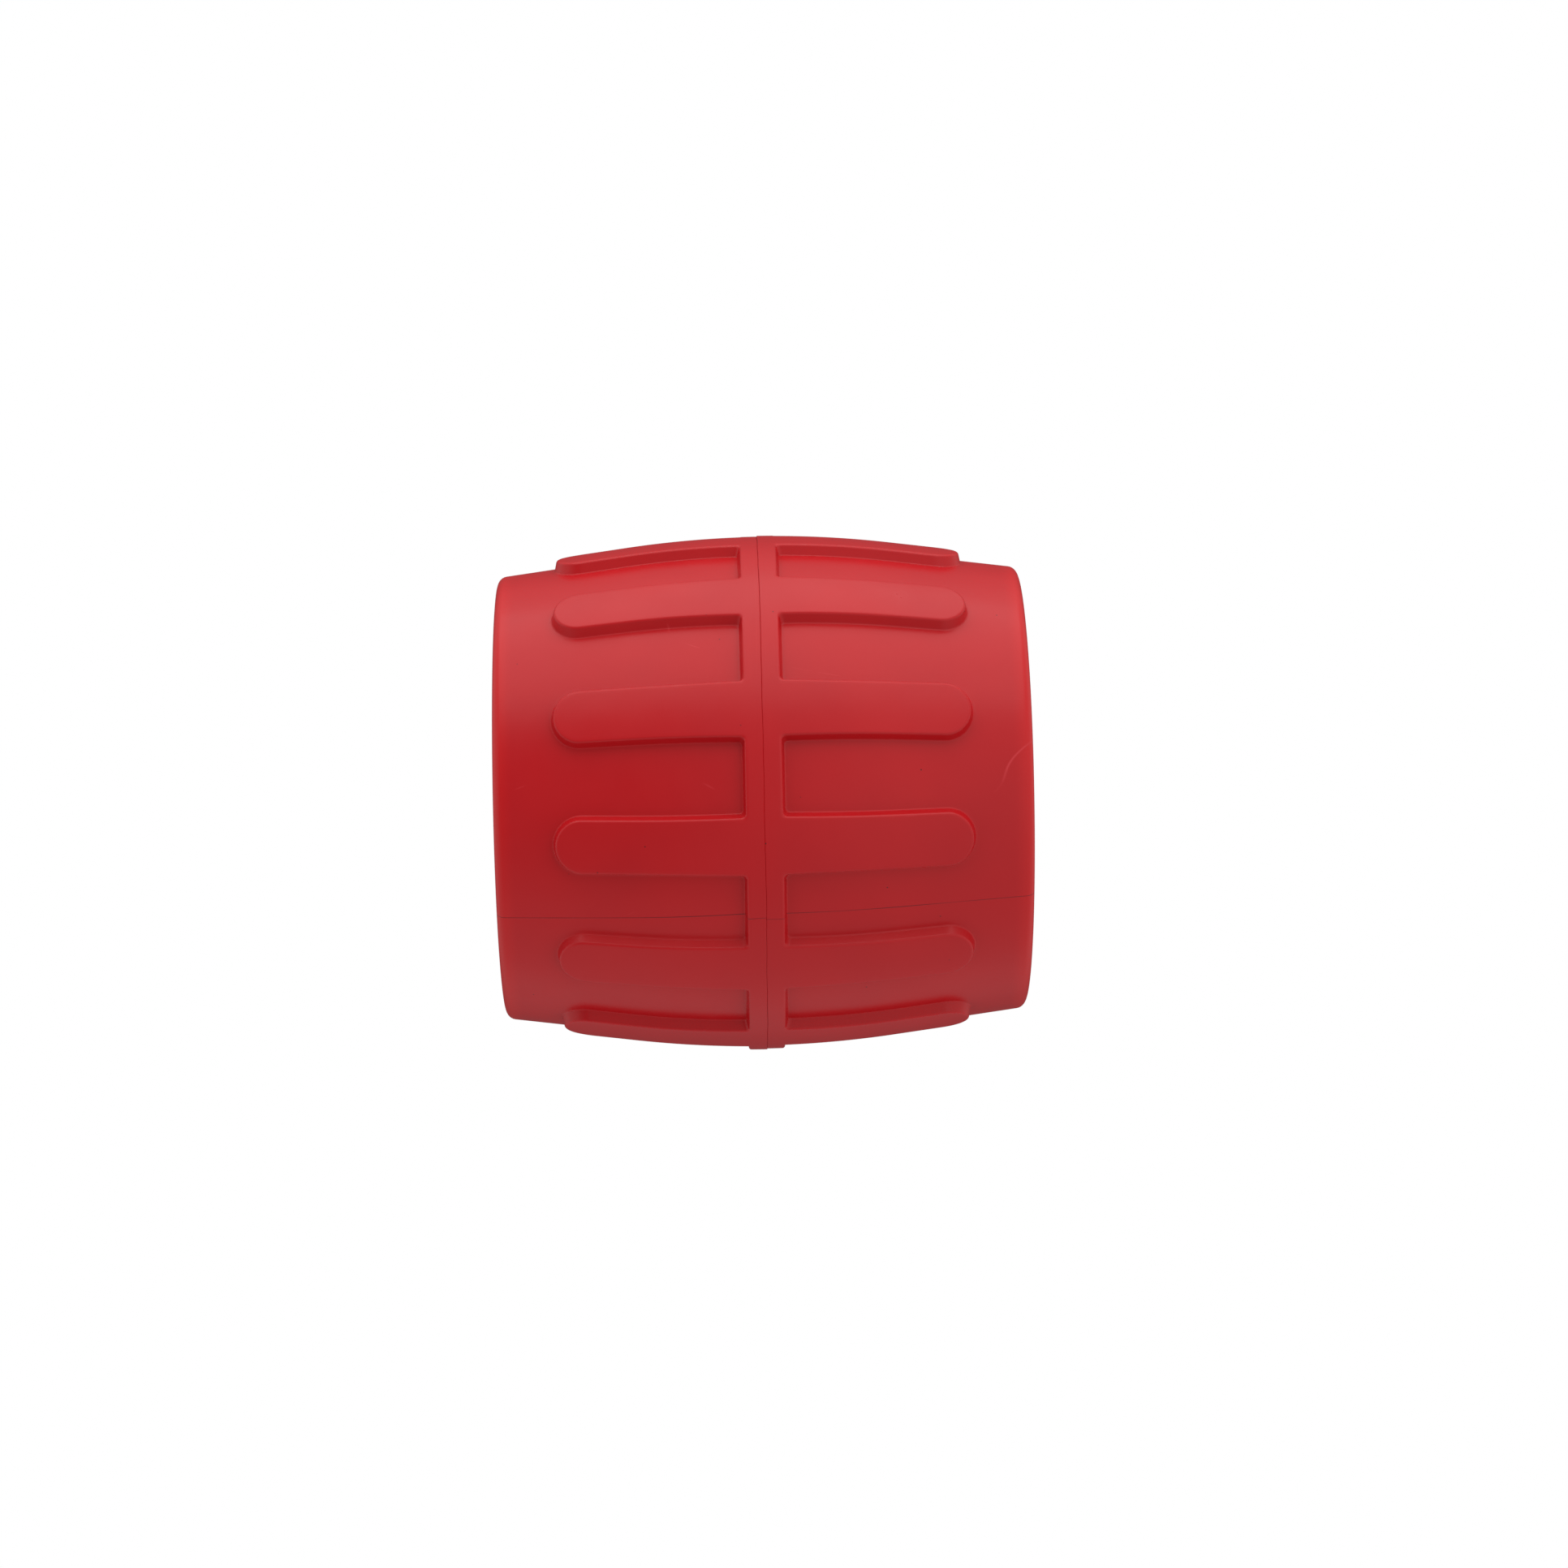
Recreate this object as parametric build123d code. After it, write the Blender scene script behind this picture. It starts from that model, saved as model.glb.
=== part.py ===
from build123d import *
from math import asin, ceil, cos, hypot, radians, sin, tan
import os

# Water-filled barrier drum, standing on its lower rim. Millimetres, +Z up along the drum's axis,
# origin at the centre of the foot plane. The drum is two like half shells of polyethylene, welded
# face to face at the middle band. Twelve hollow ribs cross the band and end in round tips. A pipe
# runs through the middle, so the drum drops over a post, with a wear bush screwed on at each end.
# Water goes in through a screw-capped neck in the upper end and out through a plug near the foot.

# The drum's outside
drum_height = 604.0
crest_radius = 300.0  # over the ribs and the band, at mid height
rib_rise = 12.6  # how far ribs and band stand proud of the skin
belly_radius = 1157.0  # radius of the skin's curve, seen from the side
belly_half_length = 150.0  # beyond it the skin runs straight, tangent to the curve
wall = 5.0
rim_round = 11.0
small_round = 5.0

# Ribs and band
rib_count = 12
rib_first = 15.0  # angle of one rib, degrees from +X
rib_width_at_band = 66.0
rib_width_at_tip = 53.0
rib_half_length = 228.0  # middle of the drum to the end of the crest
band_half_width = 20.5  # of the crest
flank_draft = 12.0  # degrees
edge_round = 3.0
corner_round = 5.0  # where a rib's side meets the band's

# Ends: a dished floor, a collar round the pipe and radial stiffeners
rim_flat_width = 19.0
recess_depth = 45.0
recess_draft = 8.0
collar_wall = 22.2  # above the floor
collar_height = 22.0
collar_inner_wall = 14.2  # below the floor
collar_inner_length = 15.0
stiffener_count = 6
stiffener_width = 9.0
stiffener_height = 14.0

# Post pipe, its seals and its bushes
post_bore_radius = 30.5
bush_wall = 2.2
bush_clearance = 0.3
pipe_wall = 4.5
pipe_clearance = 0.3
seal_section = 4.0
seal_clearance = 0.3
seal_depth = 18.0  # below the collar's top
bush_length = 30.0  # below its flange
bush_flange_margin = 3.0  # of collar left bare outside the flange
bush_flange_thickness = 4.0
screw_count = 4
screw_offset = 11.5  # pipe to the screws' circle
screw_radius = 3.0
screw_length = 20.0
screw_head_radius = 6.0
screw_head_height = 3.6
screw_drive_radius = 2.4
screw_drive_depth = 2.2
screw_hole_clearance = 0.3
screw_flange_clearance = 0.4

# Locating ring inside the welded joint
ring_height = 60.0
ring_thickness = 6.0
ring_clearance = 0.4

# Filler neck, cap and gasket
filler_angle = -90.0
neck_bore_radius = 30.0
neck_wall = 6.0
neck_height = 26.0  # floor to lip
neck_flange_width = 18.0
neck_flange_thickness = 4.0
neck_spigot_width = 4.0
neck_spigot_length = 14.0
neck_clearance = 0.3
filler_pitch = 6.0
filler_thread_depth = 2.2
filler_thread_start = 8.5  # floor to the middle of the first turn
filler_thread_length = 13.0
gasket_thickness = 3.0
gasket_overlap = 1.5  # past the neck's outside
cap_thread_clearance = 0.5
cap_wall = 8.3
cap_top_thickness = 5.0
cap_skirt_gap = 2.0  # skirt to the neck's flange
cap_flute_count = 24
cap_flute_radius = 3.4
cap_flute_depth = 1.6
cap_grip_margin = 9.0  # bar's end to the cap's edge
cap_grip_width = 13.0
cap_grip_height = 7.0

# Drain socket, plug and washer
drain_angle = 90.0
drain_foot_gap = 15.0  # foot plane to the boss
drain_boss_rise = 9.2  # skin to the boss's flat face
drain_boss_margin = 4.0  # of boss left bare outside the flange
drain_socket_wall = 3.5
drain_socket_length = 22.0
drain_socket_flange_width = 6.0
drain_socket_flange_thickness = 3.0
drain_socket_clearance = 0.3
drain_pitch = 3.0
drain_thread_depth = 1.2
drain_bore_radius = 17.5  # wall between the socket's turns
drain_thread_clearance = 0.4
drain_thread_margin = 3.0  # plain wall at each end of the thread
washer_thickness = 2.5
washer_width = 5.0
washer_clearance = 0.3
plug_head_margin = 2.0  # of the socket's flange left bare outside the head
plug_head_thickness = 7.0
plug_length = 22.0  # below the head
plug_wall = 4.9
plug_grip_margin = 4.0  # bar's end to the head's edge
plug_grip_width = 9.0
plug_grip_height = 9.0

same_place = 0.02  # points closer than this coincide
thread_bury = 0.4  # a thread's ridge runs on this far into the wall it stands on

# Worked out from the above
half_height = drum_height / 2
skin_radius = crest_radius - rib_rise
belly_angle = asin(belly_half_length / belly_radius)
floor_level = half_height - recess_depth  # from the middle of the drum
collar_level = floor_level + collar_height
pipe_bore_radius = post_bore_radius + bush_wall + bush_clearance
pipe_radius = pipe_bore_radius + pipe_wall
pipe_hole_radius = pipe_radius + pipe_clearance
seal_level = collar_level - seal_depth
collar_radius = pipe_hole_radius + collar_wall
collar_inner_radius = pipe_hole_radius + collar_inner_wall
bush_flange_radius = collar_radius - bush_flange_margin
screw_circle_radius = pipe_radius + screw_offset
neck_root_radius = neck_bore_radius + neck_wall
neck_flange_radius = neck_root_radius + neck_flange_width
neck_spigot_radius = neck_root_radius + neck_spigot_width
drain_socket_radius = drain_bore_radius + drain_socket_wall
drain_socket_flange_radius = drain_socket_radius + drain_socket_flange_width
drain_boss_radius = drain_socket_flange_radius + drain_boss_margin
drain_height = drain_foot_gap + drain_boss_radius


def barrel_point(offset, z):
    """Where the skin, moved out by offset, stands at height z from the middle: its radius there."""
    bend = belly_radius + offset
    z_tangent = bend * sin(belly_angle)
    if z <= z_tangent:
        return skin_radius - belly_radius + (bend**2 - z**2) ** 0.5
    at_tangent = skin_radius - belly_radius + bend * cos(belly_angle)
    return at_tangent - (z - z_tangent) * tan(belly_angle)


rim_outer = barrel_point(0, half_height)
rim_inner = rim_outer - rim_round - rim_flat_width
floor_edge = rim_inner - recess_depth * tan(radians(recess_draft))
filler_offset = (collar_radius + floor_edge) / 2  # drum axis to neck axis
drain_face_radius = barrel_point(0, half_height - drain_height) + drain_boss_rise


def barrel_line(offset, z_end):
    """The skin's outline, moved out by offset, from the middle up to z_end, as a curve and a tangent line."""
    bend = belly_radius + offset
    start = (skin_radius + offset, 0)
    z_tangent = bend * sin(belly_angle)
    z_halfway = bend * sin(belly_angle / 2)
    tangent = (barrel_point(offset, z_tangent), z_tangent)
    curve = ThreePointArc(start, (barrel_point(offset, z_halfway), z_halfway), tangent)
    return [curve, Line(tangent, (barrel_point(offset, z_end), z_end))]


def round_corners(face, corners, radius):
    """Rounds the corners of a flat section that lie at the given points."""
    chosen = [min(face.vertices(), key=lambda v: (v.X - x) ** 2 + (v.Z - z) ** 2) for x, z in corners]
    return fillet(chosen, radius)


def turned(*outline):
    """The solid that a closed outline in the XZ plane sweeps round the Z axis."""
    return revolve(Plane.XZ * make_face(Curve() + list(outline)), Axis.Z)


def around(piece, count, first=0.0):
    """The same piece count times, evenly spaced round the Z axis."""
    return [Rot(0, 0, first + 360 / count * k) * piece for k in range(count)]


def box_of_revolution(inner, outer, low, high):
    """A plain ring, or a disc where inner is 0, between two heights."""
    ring = Pos(0, 0, (low + high) / 2) * Cylinder(outer, high - low)
    if inner:
        ring -= Pos(0, 0, (low + high) / 2) * Cylinder(inner, 2 * (high - low))
    return ring


def thread_ridge(root, crest, root_width, crest_width, pitch, low, length):
    """A right-hand thread's ridge, standing on the radius root and ending at the radius crest, outward
    or inward. The middle of its first turn is at height low on the +X side."""
    outward = 1 if crest > root else -1
    half_crest = crest_width / 2
    flank_slope = (root_width - crest_width) / 2 / abs(crest - root)
    half_buried = root_width / 2 + flank_slope * thread_bury
    buried = root - thread_bury * outward
    outline = Plane.XZ * make_face(
        Polyline(
            (buried, -half_buried),
            (crest, -half_crest),
            (crest, half_crest),
            (buried, half_buried),
            (buried, -half_buried),
        )
    )
    path = Helix(pitch=pitch, height=length, radius=root)
    return Pos(0, 0, low) * sweep(outline, path=path, is_frenet=True)


# Half shell: the same moulding makes both, with the end on top and the joint face at z = 0


def shell_section():
    """The moulding's cut section, in radius and height: skin, rim, dished floor and collar."""
    floor_under = floor_level - wall
    collar_bottom = floor_under - collar_inner_length
    skin_inside = barrel_point(-wall, half_height - wall)
    groove_outer = pipe_radius + seal_section + 2 * seal_clearance
    groove_half = seal_section / 2 + seal_clearance
    outer = barrel_line(0, half_height)
    inner = barrel_line(-wall, half_height - wall)
    ends = Polyline(
        (rim_outer, half_height),
        (rim_inner, half_height),
        (floor_edge, floor_level),
        (collar_radius, floor_level),
        (collar_radius, collar_level),
        (pipe_hole_radius, collar_level),
        (pipe_hole_radius, seal_level + groove_half),
        (groove_outer, seal_level + groove_half),
        (groove_outer, seal_level - groove_half),
        (pipe_hole_radius, seal_level - groove_half),
        (pipe_hole_radius, collar_bottom),
        (collar_inner_radius, collar_bottom),
        (collar_inner_radius, floor_under),
        (floor_edge + wall, floor_under),
        (rim_inner + wall, half_height - wall),
        (skin_inside, half_height - wall),
    )
    joint = Line((skin_radius - wall, 0), (skin_radius, 0))
    face = Plane.XZ * make_face(Curve() + [*outer, ends, *inner, joint])
    face = round_corners(face, [(rim_outer, half_height)], rim_round)
    softened = [
        (rim_inner, half_height),
        (floor_edge, floor_level),
        (collar_radius, floor_level),
        (skin_inside, half_height - wall),
        (collar_inner_radius, floor_under),
    ]
    return round_corners(face, softened, small_round)


def rib_plan(inset):
    """A rib's outline at the crest, seen from outside, drawn in from the crest's edge by inset: the
    sides close in from the band to a round tip. Local x is the rib's width and local y its length."""
    at_band = rib_width_at_band / 2 - inset
    at_tip = rib_width_at_tip / 2 - inset
    length = rib_half_length - inset
    slope = asin((at_band - at_tip) / (length - at_tip))
    tip_side = (at_tip * cos(slope), length - at_tip + at_tip * sin(slope))
    band_side = (tip_side[0] + tip_side[1] * tan(slope), 0)
    mirrored = [(-x, y) for x, y in (tip_side, band_side)]
    sides = [Line(band_side, tip_side), Line(mirrored[0], mirrored[1]), Line(mirrored[1], band_side)]
    return make_face(Curve() + [*sides, ThreePointArc(tip_side, (0, length), mirrored[0])])


def rib_block(inset, foot_radius):
    """A rib's drafted sides as a block, deep enough to reach foot_radius at its tip, along +X."""
    outside = Plane((crest_radius, 0, 0), x_dir=(0, 1, 0), z_dir=(1, 0, 0))
    return extrude(outside * rib_plan(inset), crest_radius - foot_radius, dir=(-1, 0, 0), taper=-flank_draft)


def under_barrel(offset, low_radius, z_end):
    """Everything between low_radius and the skin moved out by offset, up to z_end."""
    lines = barrel_line(offset, z_end)
    closing = Polyline(
        (barrel_point(offset, z_end), z_end),
        (low_radius, z_end),
        (low_radius, 0),
        (skin_radius + offset, 0),
    )
    return turned(*lines, closing)


def barrel_layer(low_offset, high_offset, z_end):
    """The layer between the skin moved out by low_offset and by high_offset, up to z_end."""
    top = Line((barrel_point(high_offset, z_end), z_end), (barrel_point(low_offset, z_end), z_end))
    bottom = Line((skin_radius + low_offset, 0), (skin_radius + high_offset, 0))
    return turned(*barrel_line(high_offset, z_end), top, *barrel_line(low_offset, z_end), bottom)


def radius_at(edge, fraction):
    """How far from the drum's axis an edge is, at a fraction of its length."""
    point = edge @ fraction
    return hypot(point.X, point.Y)


def on_crest(edge):
    """Whether an edge bounds the crest. The joint's edge at z = 0 and the seam along +X don't."""
    for fraction in (0.2, 0.5):
        point = edge @ fraction
        off_crest = abs(radius_at(edge, fraction) - barrel_point(rib_rise, point.Z)) > same_place
        if off_crest or point.Z < same_place or abs(point.Y) < same_place:
            return False
    return True


def in_corner(edge):
    """Whether an edge runs down the corner between a rib's side and the band's."""
    return abs(radius_at(edge, 0) - radius_at(edge, 1)) > rib_rise and (edge @ 0.5).Z < 2 * band_half_width


def raised_pattern():
    """The twelve ribs and this half of the band, from within the skin up to their common crest."""
    foot_radius = barrel_point(-wall, rib_half_length)
    band_foot = band_half_width + (crest_radius - foot_radius) * tan(radians(flank_draft))
    band = turned(
        Polyline(
            (foot_radius, 0),
            (crest_radius + rib_rise, 0),
            (crest_radius + rib_rise, band_half_width - rib_rise * tan(radians(flank_draft))),
            (foot_radius, band_foot),
            (foot_radius, 0),
        )
    )
    layer = barrel_layer(-wall / 2, rib_rise, half_height - wall)
    pattern = (band + around(rib_block(0, foot_radius), rib_count, rib_first)) & layer
    pattern = fillet([edge for edge in pattern.edges() if in_corner(edge)], corner_round)
    return fillet([edge for edge in pattern.edges() if on_crest(edge)], edge_round)


def rib_hollows():
    """The ribs' insides, so that the wall stays even. They stop short of the band, which is solid."""
    foot_radius = barrel_point(-wall, rib_half_length) - 2 * wall
    hollow = rib_block(wall, foot_radius) & under_barrel(rib_rise - wall, foot_radius, half_height)
    solid_band = box_of_revolution(0, crest_radius, -wall, band_half_width + wall)
    return around(hollow - solid_band, rib_count, rib_first)


def stiffeners():
    """Radial ribs on the dished floor, from the collar to the foot of the recess wall."""
    length = rim_inner - collar_radius + wall
    bar = Pos((collar_radius + rim_inner) / 2, 0, floor_level + stiffener_height / 2) * Box(
        length, stiffener_width, stiffener_height
    )
    return around(bar, stiffener_count)


def half_shell():
    """One moulding, end up, with no holes but the pipe's and its bush screws'."""
    body = revolve(shell_section(), Axis.Z)
    body += raised_pattern()
    body -= rib_hollows()
    ceiling = under_barrel(-wall / 2, collar_radius - wall, half_height)
    body += [bar & ceiling for bar in stiffeners()]
    pilot_depth = screw_length - bush_flange_thickness + 2
    pilot = Pos(screw_circle_radius, 0, collar_level) * Cylinder(
        screw_radius + screw_hole_clearance, 2 * pilot_depth
    )
    body -= around(pilot, screw_count, 45)
    return body


def flipped(piece):
    """A piece of the upper end, turned over to serve the lower end, in the drum's own frame."""
    return Pos(0, 0, half_height) * Rot(180, 0, 0) * piece


def lifted(piece):
    """A piece of the upper end, in the drum's own frame."""
    return Pos(0, 0, half_height) * piece


filler_place = Rot(0, 0, filler_angle) * Pos(filler_offset, 0, floor_level + half_height)
drain_place = Rot(0, 0, drain_angle) * Pos(drain_face_radius, 0, drain_height) * Rot(0, 90, 0)


def upper_shell(moulding):
    """The floor is bored for the neck's spigot, and kept flat and clear round its flange."""
    hole = filler_place * Cylinder(neck_spigot_radius + neck_clearance, 4 * wall)
    clear = filler_place * box_of_revolution(0, neck_flange_radius + neck_clearance, 0, collar_height)
    return lifted(moulding) - hole - clear


def lower_shell(moulding):
    """The drain's boss stands on the skin, square to the drain's axis, and is bored for the socket."""
    depth = drain_face_radius - barrel_point(-wall, half_height - drain_height) + wall
    boss = drain_place * Pos(0, 0, -depth / 2) * Cylinder(drain_boss_radius, depth)
    inside = flipped(under_barrel(-wall / 2, 0, half_height - wall))
    hole_radius = drain_socket_radius + drain_socket_clearance
    hole = drain_place * Pos(0, 0, -depth / 2) * Cylinder(hole_radius, 2 * depth)
    return flipped(moulding) + (boss - inside) - hole


# Joint ring


def joint_ring():
    """A plain ring inside the joint, which lines the halves up and backs the weld."""
    outer = barrel_point(-wall, ring_height / 2) - ring_clearance
    return Pos(0, 0, half_height) * box_of_revolution(
        outer - ring_thickness, outer, -ring_height / 2, ring_height / 2
    )


# Pipe, seals, bushes and screws


def post_pipe():
    return Pos(0, 0, half_height) * box_of_revolution(
        pipe_bore_radius, pipe_radius, -collar_level, collar_level
    )


def pipe_seal():
    """An O-ring in the collar's groove, nipped between collar and pipe."""
    return Pos(0, 0, seal_level) * Torus(pipe_radius + seal_clearance + seal_section / 2, seal_section / 2)


def bush():
    """A flanged wear bush: the spigot lines the pipe's end and the flange covers pipe and collar."""
    flange = box_of_revolution(
        post_bore_radius, bush_flange_radius, collar_level, collar_level + bush_flange_thickness
    )
    spigot = box_of_revolution(
        post_bore_radius, pipe_bore_radius - bush_clearance, collar_level - bush_length, collar_level
    )
    body = flange + spigot
    top = body.faces().sort_by(Axis.Z)[-1]
    body = chamfer(top.edges(), bush_flange_thickness / 4)
    hole = Pos(screw_circle_radius, 0, collar_level) * Cylinder(screw_radius + screw_flange_clearance, 40)
    return body - around(hole, screw_count, 45)


def bush_screws():
    """Pan-head thread-forming screws, drawn without their threads."""
    seat = collar_level + bush_flange_thickness
    head = Pos(0, 0, seat + screw_head_height / 2) * Cylinder(screw_head_radius, screw_head_height)
    head = fillet(head.edges().group_by(Axis.Z)[-1], screw_head_height / 3)
    shank = Pos(0, 0, seat - screw_length / 2) * Cylinder(screw_radius, screw_length)
    point = chamfer(shank.edges().group_by(Axis.Z)[0], screw_radius / 2)
    drive = Plane.XY.offset(seat + screw_head_height) * RegularPolygon(screw_drive_radius, 6)
    screw = head + point - extrude(drive, -screw_drive_depth)
    return around(Pos(screw_circle_radius, 0, 0) * screw, screw_count, 45)


# Filler: neck, gasket and cap, drawn about the neck's own axis with z = 0 on the dished floor

lip_level = neck_height
cap_under = lip_level + gasket_thickness
cap_low = neck_flange_thickness + cap_skirt_gap
cap_bore_radius = neck_root_radius + filler_thread_depth + cap_thread_clearance
cap_radius = cap_bore_radius + cap_wall
cap_grip_length = 2 * (cap_radius - cap_grip_margin)
thread_root_width = 0.5 * filler_pitch
thread_crest_width = 0.27 * filler_pitch
seam_angle = 200  # keeps the neck's seam clear of both ends of its thread


def filler_neck():
    """Welded into the floor: a spigot in the hole, a flange on top of it and a threaded neck."""
    neck = box_of_revolution(0, neck_root_radius, 0, lip_level)
    flange = box_of_revolution(0, neck_flange_radius, 0, neck_flange_thickness)
    spigot = box_of_revolution(0, neck_spigot_radius, -neck_spigot_length, 0)
    body = chamfer((flange + spigot + neck).edges().sort_by(Axis.Z)[-1], 1)
    body -= Pos(0, 0, neck_height) * Cylinder(neck_bore_radius, 6 * neck_height)
    body = Rot(0, 0, seam_angle) * body
    body += thread_ridge(
        neck_root_radius,
        neck_root_radius + filler_thread_depth,
        thread_root_width,
        thread_crest_width,
        filler_pitch,
        filler_thread_start,
        filler_thread_length,
    )
    return filler_place * body


def cap_gasket():
    """A flat ring carried in the cap, which seals on the neck's lip."""
    return filler_place * box_of_revolution(
        neck_bore_radius, neck_root_radius + gasket_overlap, lip_level, cap_under
    )


def filler_cap():
    """A deep screw cap with a fluted skirt and a bar across the top to turn it by."""
    top = cap_under + cap_top_thickness
    body = box_of_revolution(0, cap_radius, cap_low, top)
    body = fillet(body.edges().group_by(Axis.Z)[-1], 3)
    flute = Pos(cap_radius + cap_flute_radius - cap_flute_depth, 0, 0) * Cylinder(cap_flute_radius, 4 * top)
    body -= around(flute, cap_flute_count)
    grip = Pos(0, 0, top + cap_grip_height / 2 - 1) * Box(
        cap_grip_length, cap_grip_width, cap_grip_height + 2
    )
    grip = fillet(grip.edges().filter_by(Axis.Z), cap_grip_width / 3)
    grip = fillet(grip.edges().group_by(Axis.Z)[-1], 2)
    body += grip
    body -= box_of_revolution(0, cap_bore_radius, cap_low - wall, cap_under)
    body += thread_ridge(
        cap_bore_radius,
        neck_root_radius + cap_thread_clearance,
        thread_root_width,
        thread_crest_width,
        filler_pitch,
        filler_thread_start + filler_pitch / 2,
        filler_thread_length - filler_pitch / 2,
    )
    return filler_place * body


# Drain: socket, washer and plug, drawn about the drain's own axis with z = 0 on the boss's face

drain_seat = drain_socket_flange_thickness
head_under = drain_seat + washer_thickness
plug_body_radius = drain_bore_radius - drain_thread_depth - drain_thread_clearance
plug_hollow_radius = plug_body_radius - plug_wall
plug_head_radius = drain_socket_flange_radius - plug_head_margin
plug_grip_length = 2 * (plug_head_radius - plug_grip_margin)
drain_root_width = 0.5 * drain_pitch
drain_crest_width = 0.27 * drain_pitch
drain_thread_length = drain_socket_length - 2 * drain_thread_margin


def drain_socket():
    """A flanged bush welded into the boss, threaded inside."""
    body = box_of_revolution(0, drain_socket_radius, -drain_socket_length, drain_seat)
    body += box_of_revolution(0, drain_socket_flange_radius, 0, drain_seat)
    body -= Cylinder(drain_bore_radius, 4 * drain_socket_length)
    body += thread_ridge(
        drain_bore_radius,
        drain_bore_radius - drain_thread_depth,
        drain_root_width,
        drain_crest_width,
        drain_pitch,
        -drain_socket_length + drain_thread_margin,
        drain_thread_length,
    )
    return drain_place * body


def drain_washer():
    """A flat ring under the plug's head."""
    inner = drain_bore_radius + washer_clearance
    return drain_place * box_of_revolution(inner, inner + washer_width, drain_seat, head_under)


def drain_plug():
    """A hollow threaded plug with a round head and a bar to turn it by."""
    head = box_of_revolution(0, plug_head_radius, head_under, head_under + plug_head_thickness)
    head = fillet(head.edges().group_by(Axis.Z)[-1], 2)
    grip_top = head_under + plug_head_thickness + plug_grip_height
    grip = Pos(0, 0, grip_top - plug_grip_height / 2 - 1) * Box(
        plug_grip_length, plug_grip_width, plug_grip_height + 2
    )
    grip = fillet(grip.edges().filter_by(Axis.Z), plug_grip_width / 3)
    grip = fillet(grip.edges().group_by(Axis.Z)[-1], 2)
    body = head + grip + box_of_revolution(0, plug_body_radius, head_under - plug_length, head_under)
    body -= box_of_revolution(0, plug_hollow_radius, head_under - 2 * plug_length, head_under)
    between_turns = drain_pitch / 2 - drain_socket_length + drain_thread_margin
    lowest = head_under - plug_length + drain_thread_margin
    low = between_turns + ceil((lowest - between_turns) / drain_pitch) * drain_pitch
    body += thread_ridge(
        plug_body_radius,
        drain_bore_radius - drain_thread_clearance,
        drain_root_width,
        drain_crest_width,
        drain_pitch,
        low,
        -drain_thread_margin - low,
    )
    return drain_place * body


os.makedirs("parts", exist_ok=True)
moulding = half_shell()
pieces = {
    "upper_shell": upper_shell(moulding),
    "lower_shell": lower_shell(moulding),
    "joint_ring": joint_ring(),
    "post_pipe": post_pipe(),
    "upper_pipe_seal": lifted(pipe_seal()),
    "lower_pipe_seal": flipped(pipe_seal()),
    "upper_bush": lifted(bush()),
    "lower_bush": flipped(bush()),
    "upper_bush_screws": Compound([lifted(s) for s in bush_screws()]),
    "lower_bush_screws": Compound([flipped(s) for s in bush_screws()]),
    "filler_neck": filler_neck(),
    "cap_gasket": cap_gasket(),
    "filler_cap": filler_cap(),
    "drain_socket": drain_socket(),
    "drain_washer": drain_washer(),
    "drain_plug": drain_plug(),
}
for name, piece in pieces.items():
    export_step(piece, f"parts/{name}.step")
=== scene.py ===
from math import asin, atan2, cos, hypot, pi, radians, sin, tan

import bmesh
import bpy
from mathutils import Matrix, Vector


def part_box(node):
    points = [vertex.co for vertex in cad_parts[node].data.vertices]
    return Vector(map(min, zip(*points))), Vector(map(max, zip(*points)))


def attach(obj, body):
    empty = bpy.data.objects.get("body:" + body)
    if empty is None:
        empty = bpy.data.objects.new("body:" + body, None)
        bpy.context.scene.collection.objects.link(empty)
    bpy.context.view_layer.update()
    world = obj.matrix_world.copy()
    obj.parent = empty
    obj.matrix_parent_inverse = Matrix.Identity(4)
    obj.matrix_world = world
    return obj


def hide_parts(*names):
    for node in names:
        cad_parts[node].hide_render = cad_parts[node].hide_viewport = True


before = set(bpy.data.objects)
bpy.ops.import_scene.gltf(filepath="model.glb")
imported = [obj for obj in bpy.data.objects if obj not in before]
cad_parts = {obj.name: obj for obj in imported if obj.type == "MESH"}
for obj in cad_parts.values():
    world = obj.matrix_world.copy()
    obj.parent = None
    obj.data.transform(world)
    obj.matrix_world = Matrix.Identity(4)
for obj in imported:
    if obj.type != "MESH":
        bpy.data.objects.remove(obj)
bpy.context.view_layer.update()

# Half shells. Two like mouldings of red high-density polyethylene, 5 mm thick, welded face to face at
# the raised band. Twelve ribs cross the band and end in round tips; the rims are rolled into a dished
# end with a collar for the post pipe. The weld's line wavers, and the lower half sits a hair off true.
mm = 0.001
low_corner, high_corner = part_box("lower_shell")
half_height = high_corner.z
halves_offset = 0.9 * mm
offset_angle = radians(3.5)
crest_radius = (high_corner.x - low_corner.x - halves_offset) / 2
rib_rise = 12.6 * mm
belly_radius = 1157 * mm
belly_half_length = 150 * mm
wall = 5 * mm
rib_count = 12
rib_first = radians(15)
rib_half_width_at_band = 33 * mm
rib_half_width_at_tip = 26.5 * mm
rib_half_length = 228 * mm
band_half_width = 20.5 * mm
draft = radians(12)
corner_round = 5 * mm
edge_round = 3 * mm
foot_round = 1.6 * mm
rim_round = 11 * mm
rim_flat_width = 19 * mm
small_round = 5 * mm
recess_depth = 45 * mm
recess_draft = radians(8)
inner_round = 2.5 * mm
collar_radius = 60 * mm
collar_height = 22 * mm
collar_inner_radius = 52 * mm
collar_inner_length = 15 * mm
collar_edge_round = 1 * mm
pipe_hole_radius = 37.8 * mm
bar_count = 6
bar_width = 9 * mm
bar_height = 14 * mm
bar_edge_round = 2 * mm
bar_end_gap = 2.5 * mm
bar_overlap = 1 * mm
weld_groove = 0.55 * mm
weld_waver = 0.45 * mm
half_pitch = pi / rib_count
skin_middle_radius = crest_radius - rib_rise
belly_angle = asin(belly_half_length / belly_radius)
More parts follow.
